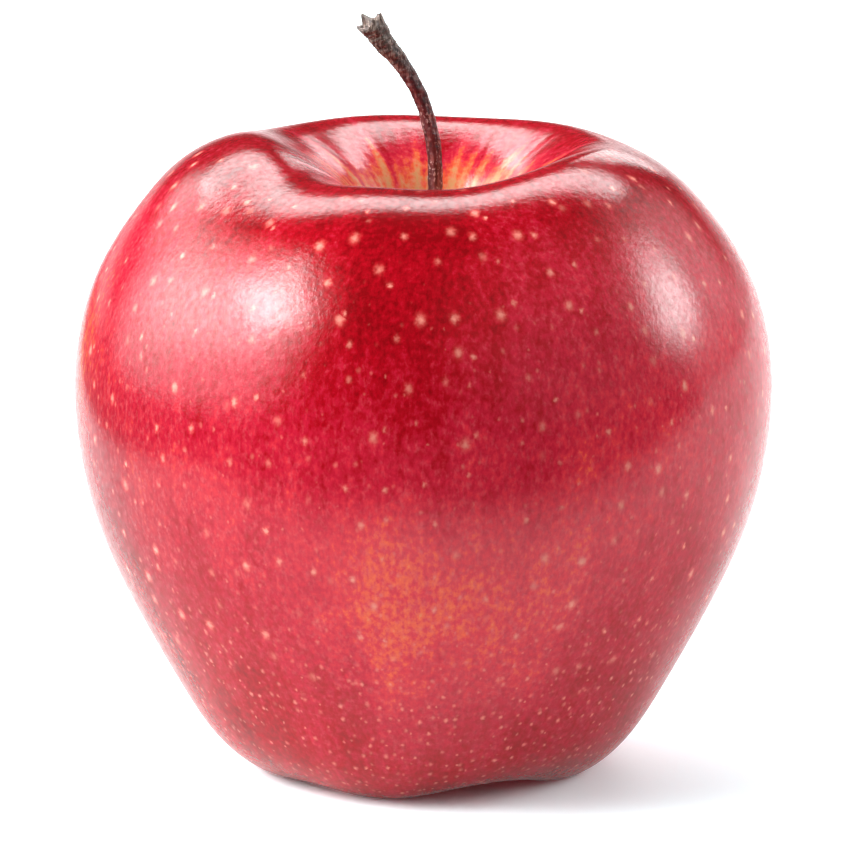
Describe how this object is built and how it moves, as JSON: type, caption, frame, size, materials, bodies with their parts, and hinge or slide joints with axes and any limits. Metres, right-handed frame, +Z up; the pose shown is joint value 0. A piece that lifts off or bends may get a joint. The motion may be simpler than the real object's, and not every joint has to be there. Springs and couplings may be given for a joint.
{
  "type": "red apple",
  "caption": "Fresh red apple with a lobed, glossy body, a deep stem cavity with a curved woody stem, and a dried calyx in the basin underneath. Stands on its lobes.",
  "frame": {"origin": "centre of the fruit's box, on the surface that it stands on", "axes": "+Z up, from the basin to the stem; -Y is the front, with +X to the right; the stem's free end leans to -X"},
  "size_m": [0.0802, 0.0798, 0.0879],
  "materials": {
    "skin": "waxy gloss, deep red with fine streaks and pale lenticels, yellow-green in the stem cavity",
    "stem_wood": "dry bark, dark maroon brown, grey-beige and torn at the flared end",
    "dried_calyx": "dry matt brown sepals with a fine felt of pale hairs"
  },
  "bodies": {
    "root": {"fruit": "skin", "stem": "stem_wood", "calyx": "dried_calyx"}
  },
  "joints": []
}
